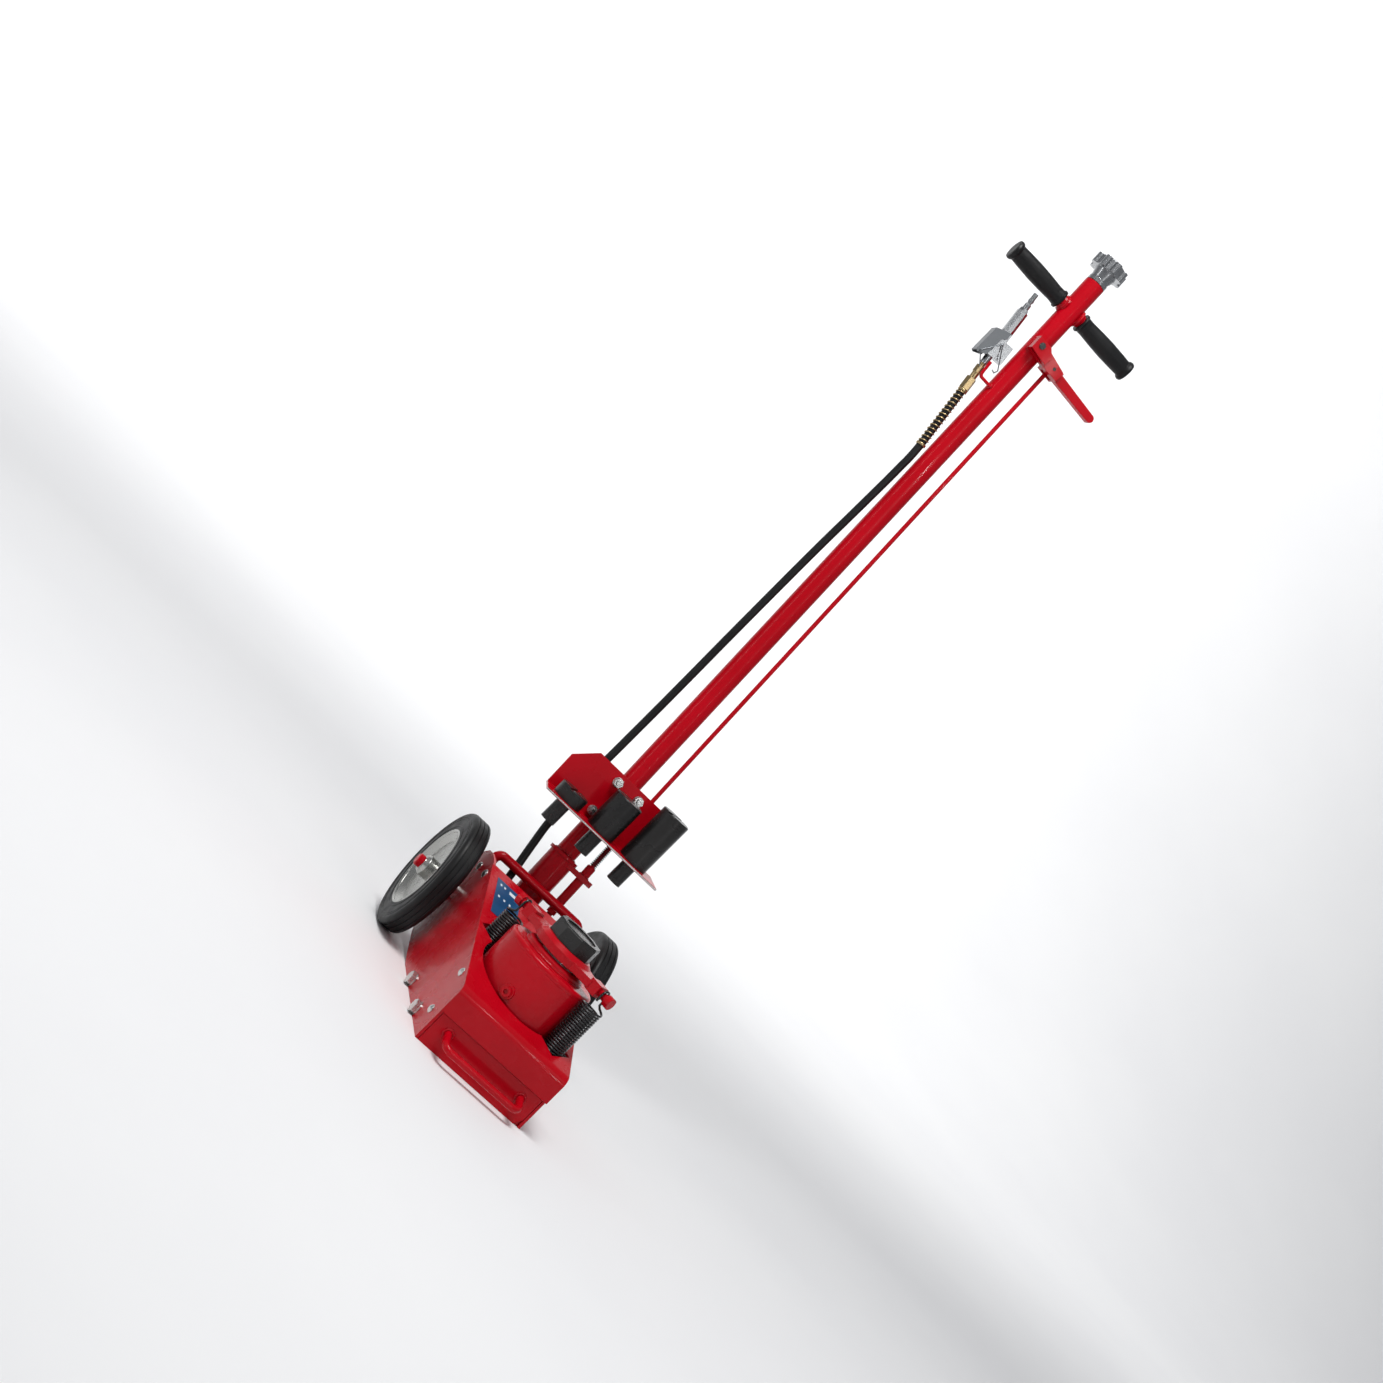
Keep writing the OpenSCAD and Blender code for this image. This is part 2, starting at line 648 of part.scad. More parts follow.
// Two cheeks and the web between them, welded to the front of the tube
module lever_bracket() color(red) on_handle() difference() {
    translate([lever_pivot.x, 0, lever_pivot.y]) {
        for (cheek = [[tube_r - 4, lever_off - tube_r + 0.4], [lever_off + 3.6, 3]])
            translate([0, -cheek[0], 0]) rotate([90, 0, 0]) linear_extrude(cheek[1])
                polygon([[-11, -12], [22, -17], [24, -3], [12, 8], [-11, 10]]);
        translate([-11, -lever_off - 6, -12]) cube([2.4, 12, 22]);
    }
    translate([0, 0, 1200]) cylinder(r = tube_r, h = 100);
    translate([lever_pivot.x, 0, lever_pivot.y]) rotate([90, 0, 0])
        cylinder(r = 4 + fit, h = 60);
}

module lever_pivot_pin() color(dark) on_handle()
    translate([lever_pivot.x, -tube_r - 0.2, lever_pivot.y]) rotate([90, 0, 0]) {
        cylinder(r = 4, h = lever_off + 6.6 + 1 - tube_r - 0.2);
        translate([0, 0, lever_off + 6.6 - tube_r - 0.2]) cylinder(r = 5, h = 1.2);
    }

// A flat root on the pivot, a forked body on the rod's eye, and a bar with a round end
module lock_lever() color(red) on_handle() difference() {
    tip = lever_end - lever_pivot;
    translate([lever_pivot.x, 0, lever_pivot.y]) rotate([90, 0, 0]) {
        translate([0, 0, lever_off - 3]) linear_extrude(6) {
            circle(r = 8);
            polygon([[0, -8], [0, 8], [28, 2], [52, -3], [50, -20], [26, -19]]);
        }
        translate([0, 0, 1]) linear_extrude(lever_off + 2)
            polygon([[24.5, -18], [24.5, 2], [54, -4], [52, -20]]);
        translate([0, 0, 9]) linear_extrude(11) {
            polygon([[48, -3.5], [48, -19], [tip.x, tip.y - 6.5], [tip.x, tip.y + 6.5]]);
            translate(tip) circle(r = 6.5);
        }
    }
    translate([lever_pivot.x, 0, lever_pivot.y]) rotate([90, 0, 0])
        cylinder(r = 4 + run, h = 60);
    translate([lever_pin.x, 0, lever_pin.y]) rotate([90, 0, 0]) cylinder(r = 2.5 + fit, h = 60);
    translate([lever_pin.x - 9.5, -rod_off - 4.6, 1210]) cube([20.5, 9.2, 38]);
}

module lever_rod_pin() color(dark) on_handle()
    translate([lever_pin.x, -0.5, lever_pin.y]) rotate([90, 0, 0]) cylinder(r = 2.5, h = 27);

// ---------- air valve ----------

module valve_hook() color(red) on_handle() difference() {
    wire([[-8, -9, 1153], [-34, -10, 1153], [-37, -10.5, 1157], [-38.5, -10.5, 1178]], 2.5);
    translate([0, 0, 1100]) cylinder(r = tube_r, h = 100);
}

module brass_fitting() color(brass) on_valve() {
    hexagon(14, 20);
    translate([0, 0, 20]) cylinder(r = 5.5, h = 10);
    translate([0, 0, 30]) hexagon(12, 12);
    translate([0, 0, 42]) cylinder(r = 4.5, h = 5);
}

module spring_guard() color(brass) aim(guard_low, valve_foot - guard_low)
    ring(7.8, hose_r + 0.3, norm(valve_foot - guard_low) - 0.1);

// A smooth point between p[i] and p[i + 1], for t from 0 to 1
function near(p, i) = p[min(max(i, 0), len(p) - 1)];
function smooth(p, i, t) = let (a = near(p, i - 1), b = near(p, i), c = near(p, i + 1),
    d = near(p, i + 2)) 0.5 * (2 * b + (c - a) * t + (2 * a - 5 * b + 4 * c - d) * t * t
    + (3 * b - a - 3 * c + d) * t * t * t);
module tube_along(route, r, sides, steps) {
    last = len(route) - 1;
    path = concat([for (i = [0 : last - 1], k = [0 : steps - 1])
        i == last - 1 && k > 0 ? route[i] + (route[i + 1] - route[i]) * k / steps
        : smooth(route, i, k / steps)], [route[last]]);
    n = len(path);
    ahead = [for (i = [0 : n - 1]) i == 0 ? route[1] - route[0]
        : i == n - 1 || i > n - 1 - steps ? route[last] - route[last - 1]
        : path[i + 1] - path[i - 1]];
    points = [for (i = [0 : n - 1]) let (t = ahead[i] / norm(ahead[i]),
        u = cross(t, [1, 0, 0]) / norm(cross(t, [1, 0, 0])), v = cross(t, u))
        for (k = [0 : sides - 1]) path[i] + r * (u * cos(360 * k / sides)
            + v * sin(360 * k / sides))];
    faces = concat(
        [for (i = [0 : n - 2], k = [0 : sides - 1]) let (j = (k + 1) % sides)
            [i * sides + k, i * sides + j, (i + 1) * sides + j, (i + 1) * sides + k]],
        [backward([for (k = [0 : sides - 1]) k])],
        [[for (k = [0 : sides - 1]) (n - 1) * sides + k]]);
    polyhedron(points, faces, convexity = 4);
}

module hose() color(black) tube_along(hose_route, hose_r, 10, 3);

// Neck, lever housing and octagonal body, turned about the valve's axis
module valve_body() color(steel) on_valve() difference() {
    union() {
        translate([0, 0, 47]) cylinder(r = 6, h = 14);
        translate([-7, -8, 61]) cube([14, 16, 44]);
        translate([5, -6, 62]) cube([16, 13, 29]);
        translate([0, 0, 105]) rotate(22.5) cylinder(r = 9, h = 38, $fn = 8);
    }
    translate([0, 20, 99]) rotate([90, 0, 0]) cylinder(r = 1.5 + run, h = 40);
}

// The quick plug that the air line's coupler goes over
module air_plug() color(steel) on_valve() {
    translate([0, 0, 143]) hexagon(12, 5);
    translate([0, 0, 148]) cylinder(r = 5, h = 9);
    translate([0, 0, 157]) cylinder(r = 3.4, h = 4);
    translate([0, 0, 161]) cylinder(r = 4.5, h = 4);
    translate([0, 0, 165]) cylinder(r = 3.9, h = 11);
}

// A folded paddle on a cross pin
module valve_trigger() color(dark) on_valve() {
    translate([0, 10.5, 99]) rotate([90, 0, 0]) cylinder(r = 1.5, h = 21);
    for (y = [-10.5, 8.6]) translate([0, y, 0]) rotate([-90, 0, 0]) linear_extrude(1.9)
        polygon([[4, -104], [4, -94], [-3, -89], [-5, -68], [-8, -58], [-21, -53],
            [-24.5, -55], [-19.5, -98], [-2, -104]]);
    translate([0, -10.5, 0]) rotate([-90, 0, 0]) linear_extrude(21)
        polygon([[-24.5, -55], [-19.5, -98], [-17.5, -98], [-22.5, -55]]);
}

// A wire catch that swings on the front of the lever housing
module safety_wire() color(steel) on_valve() {
    wire([[-5, -12, 38], [-19, -12, 57], [3, -12, 84], [21, -12, 50], [18, -12, 44],
        [13, -12, 46]], 0.9);
    translate([3, -8.1, 84]) rotate([90, 0, 0]) cylinder(r = 1.6, h = 4.5);
}

// ---------- drawing ----------

base_plate();
side_panel_left();
side_panel_right();
top_cover();
front_plate();
carry_handle();
guard_bar();
axle();
axle_caps();
lock_quadrant();
base_bolts();
panel_screws();
label_plate();
cylinder_body();
tank_cap();
gland_nut();
filler_plug();
spring_anchors();
return_spring_left();
return_spring_right();
pump_block();
air_motor();
air_piston();
release_spindle();
inlet_fitting();
ram_piston();
cross_bar();
saddle();
tyre_left();
hub_left();
tyre_right();
hub_right();
handle_socket();
handle_tube();
handlebars();
grips();
rod_bush();
release_rod();
release_knob();
tool_rack();
u_bolts();
u_bolt_nuts();
adapter_short();
adapter_medium();
adapter_tall();
lock_guide();
lock_spring();
lock_rod();
lever_bracket();
lever_pivot_pin();
lock_lever();
lever_rod_pin();
valve_hook();
brass_fitting();
spring_guard();
hose();
valve_body();
air_plug();
valve_trigger();
safety_wire();
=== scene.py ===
"""An air-hydraulic truck jack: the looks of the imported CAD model, in a plain studio."""
import math

import bpy
from mathutils import Matrix, Vector


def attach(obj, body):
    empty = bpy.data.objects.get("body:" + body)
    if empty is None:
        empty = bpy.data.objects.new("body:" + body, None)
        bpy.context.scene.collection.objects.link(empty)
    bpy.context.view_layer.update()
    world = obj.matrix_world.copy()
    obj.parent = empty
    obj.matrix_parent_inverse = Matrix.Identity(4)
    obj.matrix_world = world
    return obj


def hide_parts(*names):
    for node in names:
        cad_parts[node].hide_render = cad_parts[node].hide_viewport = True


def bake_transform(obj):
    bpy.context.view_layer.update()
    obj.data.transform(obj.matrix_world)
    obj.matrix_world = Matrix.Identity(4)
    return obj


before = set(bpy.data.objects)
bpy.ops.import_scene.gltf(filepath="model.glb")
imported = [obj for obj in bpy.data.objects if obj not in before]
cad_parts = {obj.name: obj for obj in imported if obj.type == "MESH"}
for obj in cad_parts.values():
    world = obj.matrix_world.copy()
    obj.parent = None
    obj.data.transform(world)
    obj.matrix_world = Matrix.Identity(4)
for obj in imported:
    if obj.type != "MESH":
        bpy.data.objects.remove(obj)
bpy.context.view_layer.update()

# ---------- places and sizes, in metres, as in the part's source ----------

LEAN = math.radians(7.75)
FOOT_Y = 0.290                     # where the handle's axis meets the floor
AXLE_Y = 0.280
WHEEL_R = 0.100
RIM_R = 0.066
TYRE_IN, TYRE_FACE = 0.111, 0.142
TUBE_R = 0.0162
SPRING_OFF = 0.087                 # the return springs' distance from the ram's axis
BAR_TURN = math.radians(45)
BAR_Z = 0.188
COIL_LOW, COIL_TOP = 0.050, 0.171
LOCK_ROD = (0.041, -0.009)         # where the lock rod's axis meets the handle frame's floor
LOCK_TILT = math.radians(0.3)      # how far it leans in towards the handle
GUIDE_TOP = 0.254
TEE_AT = 1.321                     # along the handle, from the floor to the T-bar
HOSE_R = 0.006
HOSE_ROUTE = [
    (-0.041, 0.262, 0.114), (-0.041, 0.275, 0.134), (-0.042, 0.289, 0.157),
    (-0.044, 0.302, 0.189), (-0.047, 0.312, 0.220), (-0.050, 0.321, 0.254),
    (-0.051, 0.329, 0.300), (-0.051, 0.336, 0.350), (-0.049, 0.343, 0.400),
    (-0.045, 0.358, 0.500), (-0.041, 0.377, 0.640), (-0.036, 0.397, 0.785),
    (-0.031, 0.411, 0.890), (-0.028, 0.421, 0.960), (-0.028, 0.428, 1.011),
    (-0.038, 0.442, 1.114)]

# The handle's own frame: Z runs up its axis from the floor, Y points to the rear
HANDLE = Matrix.Translation((0, FOOT_Y, 0)) @ Matrix.Rotation(-LEAN, 4, "X")
# A frame whose Z runs up the lock rod's axis
ROD = HANDLE @ Matrix.Translation((*LOCK_ROD, 0)) @ Matrix.Rotation(-LOCK_TILT, 4, "Y")


# ---------- shapes ----------

def finished(name, verts, faces, material, body, smooth=True):
    """A mesh piece with its material, riding on a body if one is named."""
    mesh = bpy.data.meshes.new(name)
    mesh.from_pydata(verts, [], faces)
    mesh.update()
    for face in mesh.polygons:
        face.use_smooth = smooth
    piece = bpy.data.objects.new(name, mesh)
    bpy.context.scene.collection.objects.link(piece)
    piece.data.materials.append(material)
    if body:
        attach(piece, body)
    return piece


def sweep(paths, radius, sides):
    """(verts, faces) of round bars along paths. radius is a number, or a function of a point's number."""
    verts, faces = [], []
    for path in paths:
        path = [Vector(p) for p in path]
        last = len(path) - 1
        first = len(verts)
        side = None
        for i, point in enumerate(path):
            ahead = (path[min(i + 1, last)] - path[max(i - 1, 0)]).normalized()
            if side is None:
                side = ahead.orthogonal()
            side = (side - side.dot(ahead) * ahead).normalized()
            up = ahead.cross(side)
            r = radius(i) if callable(radius) else radius
            for k in range(sides):
                turn = 2 * math.pi * k / sides
                verts.append(point + r * (math.cos(turn) * side + math.sin(turn) * up))
        for i in range(last):
            for k in range(sides):
                a, b = first + i * sides + k, first + i * sides + (k + 1) % sides
                faces.append((a, b, b + sides, a + sides))
        faces.append(tuple(range(first + sides - 1, first - 1, -1)))
        faces.append(tuple(range(first + last * sides, first + (last + 1) * sides)))
    return verts, faces


def lathe(profile, place, steps=72):
    """(verts, faces) of a closed outline [(radius, height), ...] turned about Z, then placed."""
    verts, faces = [], []
    count = len(profile)
    for i in range(steps):
        turn = 2 * math.pi * i / steps
        for r, z in profile:
            verts.append(place @ Vector((r * math.cos(turn), r * math.sin(turn), z)))
    for i in range(steps):
        for k in range(count):
            a, b = i * count + k, i * count + (k + 1) % count
            c, d = (i + 1) % steps * count + (k + 1) % count, (i + 1) % steps * count + k
            faces.append((a, b, c, d))
    return verts, faces


def helix(radius, low, high, turns, steps):
    """Points of an evenly wound coil round Z, with this many steps in a turn."""
    points = []
    total = int(turns * steps)
    for i in range(total + 1):
        t = i / total
        turn = 2 * math.pi * turns * t
        points.append(Vector((radius * math.cos(turn), radius * math.sin(turn),
                              low + (high - low) * t)))
    return points


def arc(centre, radius, first, last, plane, steps=10):
    """Points of an arc in the plane of two unit vectors, between two angles in degrees."""
    u, v = Vector(plane[0]), Vector(plane[1])
    return [Vector(centre) + radius * (math.cos(math.radians(a)) * u + math.sin(math.radians(a)) * v)
            for a in [first + (last - first) * i / steps for i in range(steps + 1)]]


def smooth_route(route, steps):
    """The same smooth line through a route's points as in the part's source."""
    points = [Vector(p) for p in route]
    last = len(points) - 1
    line = []
    for i in range(last):
        a, b = points[max(i - 1, 0)], points[i]
        c, d = points[i + 1], points[min(i + 2, last)]
        for k in range(steps):
            t = k / steps
            if i == last - 1:
                line.append(b + (c - b) * t)
            else:
                line.append(0.5 * (2 * b + (c - a) * t + (2 * a - 5 * b + 4 * c - d) * t * t
                                   + (3 * b - a - 3 * c + d) * t ** 3))
    return line + [points[last]]


def towards(place, direction):
    """A frame at a place, with Z along a direction."""
    turn = Vector((0, 0, 1)).rotation_difference(Vector(direction)).to_matrix().to_4x4()
    return Matrix.Translation(place) @ turn


# ---------- materials ----------

class Surface:
    """A node material: a principled shader, and short calls that add nodes in front of it."""

    def __init__(self, name, **uniform):
        self.material = bpy.data.materials.new(name)
        self.material.use_nodes = True
        self.nodes = self.material.node_tree.nodes
        self.links = self.material.node_tree.links
        self.shader = self.nodes["Principled BSDF"]
        for socket, value in uniform.items():
            self.shader.inputs[socket.replace("_", " ")].default_value = value
        self.place = self.nodes.new("ShaderNodeTexCoord").outputs["Object"]

    def noise(self, scale, detail=4.0, stretch=(1, 1, 1)):
        mapping = self.nodes.new("ShaderNodeMapping")
        mapping.inputs["Scale"].default_value = stretch
        self.links.new(self.place, mapping.inputs["Vector"])
        node = self.nodes.new("ShaderNodeTexNoise")
        node.inputs["Scale"].default_value = scale
        node.inputs["Detail"].default_value = detail
        self.links.new(mapping.outputs["Vector"], node.inputs["Vector"])
        return node.outputs["Fac"]

    def spread(self, value, low, high, to_low=0.0, to_high=1.0):
        node = self.nodes.new("ShaderNodeMapRange")
        for socket, number in (("From Min", low), ("From Max", high),
                               ("To Min", to_low), ("To Max", to_high)):
            node.inputs[socket].default_value = number
        self.links.new(value, node.inputs["Value"])
        return node.outputs["Result"]

    def maths(self, operation, a, b):
        node = self.nodes.new("ShaderNodeMath")
        node.operation = operation
        for socket, value in zip(node.inputs, (a, b)):
            if isinstance(value, (int, float)):
                socket.default_value = value
            else:
                self.links.new(value, socket)
        return node.outputs["Value"]

    def mix(self, factor, a, b):
        node = self.nodes.new("ShaderNodeMix")
        node.data_type = "RGBA"
        self.links.new(factor, node.inputs["Factor"])
        for socket, value in (("A", a), ("B", b)):
            target = [plug for plug in node.inputs if plug.name == socket and plug.type == "RGBA"][0]
            if isinstance(value, tuple):
                target.default_value = (*value, 1)
            else:
                self.links.new(value, target)
        return [plug for plug in node.outputs if plug.type == "RGBA"][0]

    def edges(self, radius):
        """(rounded normal, how near an edge is, from 0 to 1)."""
        bevel = self.nodes.new("ShaderNodeBevel")
        bevel.samples = 4
        bevel.inputs["Radius"].default_value = radius
        own = self.nodes.new("ShaderNodeNewGeometry").outputs["Normal"]
        dot = self.nodes.new("ShaderNodeVectorMath")
        dot.operation = "DOT_PRODUCT"
        self.links.new(bevel.outputs["Normal"], dot.inputs[0])
        self.links.new(own, dot.inputs[1])
        return bevel.outputs["Normal"], self.spread(dot.outputs["Value"], 0.995, 0.85)

    def bump(self, height, strength, distance, normal=None):
        node = self.nodes.new("ShaderNodeBump")
        node.inputs["Strength"].default_value = strength
        node.inputs["Distance"].default_value = distance
        self.links.new(height, node.inputs["Height"])
        if normal:
            self.links.new(normal, node.inputs["Normal"])
        return node.outputs["Normal"]

    def to(self, socket, value):
        self.links.new(value, self.shader.inputs[socket])


def coated(name, shades, worn, roughness, edge=0.0012, grain=(260, 0.12), wear=0.35, **uniform):
    """A painted, plated or moulded surface: drifting shade, worn edges and a fine grain."""
    surface = Surface(name, **uniform)
    drift = surface.spread(surface.noise(9, 3), 0.35, 0.65)
    normal, near = surface.edges(edge)
    scuffs = surface.spread(surface.noise(75, 6), 0.5, 0.72)
    worn_here = surface.maths("MULTIPLY", surface.maths("MULTIPLY", near, scuffs), wear)
    surface.to("Base Color", surface.mix(worn_here, surface.mix(drift, *shades), worn))
    streaks = surface.spread(surface.noise(30, 8), 0.3, 0.7, roughness[0], roughness[1])
    surface.to("Roughness", surface.maths("ADD", streaks, surface.maths("MULTIPLY", near, 0.06)))
    surface.to("Normal", surface.bump(surface.noise(grain[0], 2), grain[1], 0.0004, normal))
    return surface.material


METAL_EDGE = 0.0008                # how far metal looks rounded at its edges
METAL_DIRT = (0.12, 0.11, 0.1)
RUBBER_EDGE = 0.001


def metal(name, shades, roughness, stretch=(1, 1, 1), grain=(500, 0.06)):
    """Bare metal: fine marks that can run one way, and dirt that gathers in patches."""
    surface = Surface(name, Metallic=1.0)
    normal, near = surface.edges(METAL_EDGE)
    patches = surface.spread(surface.noise(40, 6), 0.58, 0.8, 0, 0.5)
    marks = surface.noise(grain[0], 5, stretch)
    surface.to("Base Color", surface.mix(patches, surface.mix(marks, *shades), METAL_DIRT))
    polish = surface.spread(marks, 0.3, 0.7, *roughness)
    surface.to("Roughness", surface.maths("SUBTRACT", polish, surface.maths("MULTIPLY", near, 0.08)))
    surface.to("Normal", surface.bump(marks, grain[1], 0.0003, normal))
    return surface.material


def rubbery(name, shades, roughness, bumps, stretch=(1, 1, 1)):
    """Black rubber: dusty patches on a fine grain."""
    surface = Surface(name, Specular_IOR_Level=0.28)
    dust = surface.spread(surface.noise(28, 6), 0.45, 0.75)
    normal, near = surface.edges(RUBBER_EDGE)
    surface.to("Base Color", surface.mix(dust, *shades))
    polish = surface.spread(surface.noise(60, 5), 0.3, 0.7, *roughness)
    surface.to("Roughness", surface.maths("SUBTRACT", polish, surface.maths("MULTIPLY", near, 0.1)))
    surface.to("Normal", surface.bump(surface.noise(bumps[0], 3, stretch), bumps[1], 0.0005, normal))
    return surface.material


def label_film():
    """A blue printed film with a pale bar and a few small pale marks, no letters."""
    surface = Surface("label_film", Roughness=0.3, Specular_IOR_Level=0.2, Coat_Weight=0.15)
    split = surface.nodes.new("ShaderNodeSeparateXYZ")
    surface.links.new(surface.place, split.inputs["Vector"])
    x, y = split.outputs["X"], split.outputs["Y"]

    def block(low_x, high_x, low_y, high_y):
        inside = surface.maths("MULTIPLY", surface.maths("GREATER_THAN", x, low_x),
                               surface.maths("LESS_THAN", x, high_x))
        along = surface.maths("MULTIPLY", surface.maths("GREATER_THAN", y, low_y),
                              surface.maths("LESS_THAN", y, high_y))
        return surface.maths("MULTIPLY", inside, along)

    marks = block(-0.056, -0.041, 0.178, 0.186)
    corners = ((-0.073, 0.181), (-0.066, 0.181), (-0.073, 0.150), (-0.063, 0.150), (-0.053, 0.150))
    wide, long = 0.003, 0.005
    for low_x, low_y in corners:
        marks = surface.maths("ADD", marks, block(low_x, low_x + wide, low_y, low_y + long))
    drift = surface.spread(surface.noise(25, 4), 0.35, 0.7)
    ground = surface.mix(drift, (0.0005, 0.055, 0.15), (0.002, 0.08, 0.2))
    surface.to("Base Color", surface.mix(marks, ground, (0.7, 0.75, 0.8)))
    surface.to("Normal", surface.bump(surface.noise(300, 2), 0.05, 0.0003))
    return surface.material


RED = coated("red_paint", ((0.49, 0.001, 0.009), (0.43, 0.0008, 0.007)), (0.24, 0.03, 0.03),
             (0.24, 0.3), Specular_IOR_Level=0.1, Coat_Weight=0.16, Coat_Roughness=0.05)
RED_ROUGH = coated("red_weld", ((0.46, 0.002, 0.010), (0.36, 0.001, 0.007)), (0.24, 0.03, 0.03),
                   (0.28, 0.38), grain=(420, 0.8), Specular_IOR_Level=0.16, Coat_Weight=0.14,
                   Coat_Roughness=0.1)
BLACK = coated("black_steel", ((0.012, 0.012, 0.012), (0.024, 0.023, 0.022)), (0.12, 0.115, 0.11),
               (0.22, 0.34), grain=(600, 0.2), wear=0.6, Metallic=0.3)
OXIDE = coated("black_oxide", ((0.004, 0.004, 0.0045), (0.009, 0.009, 0.009)), (0.14, 0.13, 0.12),
               (0.16, 0.26), edge=0.0003, grain=(900, 0.12), Specular_IOR_Level=0.6)
ZINC = metal("zinc_plate", ((0.70, 0.70, 0.68), (0.52, 0.52, 0.51)), (0.2, 0.36))
CHROME = metal("ground_steel", ((0.7, 0.7, 0.71), (0.6, 0.6, 0.61)), (0.08, 0.16), (1, 1, 12))
CAST = metal("phosphated_iron", ((0.15, 0.15, 0.16), (0.09, 0.09, 0.095)), (0.4, 0.6), grain=(700, 0.3))
GREY = metal("grey_sheet", ((0.22, 0.23, 0.24), (0.15, 0.16, 0.17)), (0.32, 0.46), (8, 1, 1))
ALLOY = metal("cast_alloy", ((0.50, 0.51, 0.52), (0.34, 0.35, 0.36)), (0.16, 0.3), grain=(450, 0.08))
BRASS = metal("turned_brass", ((0.56, 0.42, 0.22), (0.40, 0.29, 0.15)), (0.22, 0.36), (1, 1, 8))
SILVER = coated("silver_paint", ((0.46, 0.46, 0.44), (0.36, 0.36, 0.34)), (0.25, 0.25, 0.24),
                (0.2, 0.32), grain=(800, 0.15), Metallic=0.92)
TYRE = rubbery("solid_tyre", ((0.004, 0.004, 0.0045), (0.011, 0.0105, 0.010)), (0.4, 0.56), (350, 0.25))
GRIP = rubbery("grip_rubber", ((0.003, 0.003, 0.0035), (0.007, 0.007, 0.007)), (0.38, 0.5), (90, 0.35),
               (1, 12, 12))
HOSE = rubbery("hose_rubber", ((0.006, 0.006, 0.0065), (0.012, 0.012, 0.012)), (0.32, 0.45), (500, 0.2))
LABEL = label_film()

FINISHES = {
    RED: ["base_plate", "side_panel_left", "side_panel_right", "top_cover", "front_plate",
          "carry_handle", "guard_bar", "axle_caps", "lock_quadrant", "cylinder_body", "tank_cap",
          "filler_plug", "cross_bar", "handle_socket", "handle_tube", "handlebars", "tool_rack",
          "lock_guide", "lock_rod", "lever_bracket", "lock_lever", "valve_hook"],
    RED_ROUGH: ["gland_nut"],
    BLACK: ["saddle", "adapter_short", "adapter_medium", "adapter_tall"],
    OXIDE: ["lever_pivot_pin", "lever_rod_pin", "return_spring_left", "return_spring_right",
            "lock_spring"],
    ZINC: ["axle", "base_bolts", "panel_screws", "spring_anchors", "u_bolts", "u_bolt_nuts",
           "release_rod", "release_spindle", "air_piston"],
    CHROME: ["ram_piston"],
    CAST: ["pump_block", "air_motor"],
    GREY: ["valve_trigger", "safety_wire"],
    ALLOY: ["release_knob", "valve_body", "air_plug", "rod_bush"],
    BRASS: ["brass_fitting", "spring_guard", "inlet_fitting"],
    SILVER: ["hub_left", "hub_right"],
    TYRE: ["tyre_left", "tyre_right"],
    GRIP: ["grips"],
    HOSE: ["hose"],
    LABEL: ["label_plate"],
}
for material, names in FINISHES.items():
    for name in names:
        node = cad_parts[name]
        node.data.materials.clear()
        node.data.materials.append(material)


# ---------- camera ----------

CAMERA_PLACE = (-0.9015, -2.8949, 0.6412)
CAMERA_ANGLES = (-15.03, -1.93, 45)    # yaw, pitch and roll in degrees
CAMERA_LENS = 61.6


def add_camera():
    """The photograph's view: nearly level, ahead and to the left, with the picture turned."""
    yaw, pitch, roll = (math.radians(angle) for angle in CAMERA_ANGLES)
    camera = bpy.data.objects.new("camera", bpy.data.cameras.new("camera"))
    camera.data.lens = CAMERA_LENS
    camera.data.sensor_width = 36      # millimetres, as the lens
    camera.data.clip_end = 100
    aimed = Matrix.Rotation(yaw, 4, "Z") @ Matrix.Rotation(math.radians(90) + pitch, 4, "X")
    camera.matrix_world = (Matrix.Translation(CAMERA_PLACE) @ aimed
                           @ Matrix.Rotation(roll, 4, "Z"))
    bpy.context.scene.collection.objects.link(camera)
    bpy.context.scene.camera = camera


add_camera()
bpy.context.scene.view_settings.view_transform = "Standard"


# ---------- the hose and its guard ----------

FERRULE = 0.004                    # length of the ring at each end of the guard


def add_hose():
    line = smooth_route(HOSE_ROUTE, 8)
    verts, faces = sweep([line], HOSE_R, 20)
    hose = finished("air_hose", verts, faces, HOSE, None)
    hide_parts("hose")
    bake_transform(hose)


def add_hose_guard():
    """A brass coil round the hose's top end, between two ferrules."""
    low, high = Vector(HOSE_ROUTE[-2]), Vector(HOSE_ROUTE[-1])
    place = towards(low, high - low)
    length = (high - low).length - 0.0002      # a hair short of the brass fitting
    wire, coil_radius, turns = 0.0009, 0.00695, 14
    coil = [place @ p for p in helix(coil_radius, FERRULE, length - FERRULE, turns, 24)]
    verts, faces = sweep([coil], wire, 8)
    guard = finished("hose_guard_coil", verts, faces, BRASS, "handle")
    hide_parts("spring_guard")
    bore = HOSE_R + 0.0001
    ferrule = [(bore, 0), (0.0074, 0), (0.0077, 0.0006), (0.0077, 0.0034), (0.0073, FERRULE),
               (bore, FERRULE)]
    collar = [(bore, length - FERRULE), (0.007, length - FERRULE), (0.0076, length - 0.003),
              (0.0076, length - 0.001), (0.0071, length), (bore, length)]
    for name, outline in (("hose_guard_ferrule", ferrule), ("hose_guard_collar", collar)):
        verts, faces = lathe(outline, place, 40)
        ring = finished(name, verts, faces, BRASS, "handle")


add_hose()
add_hose_guard()


# ---------- springs ----------

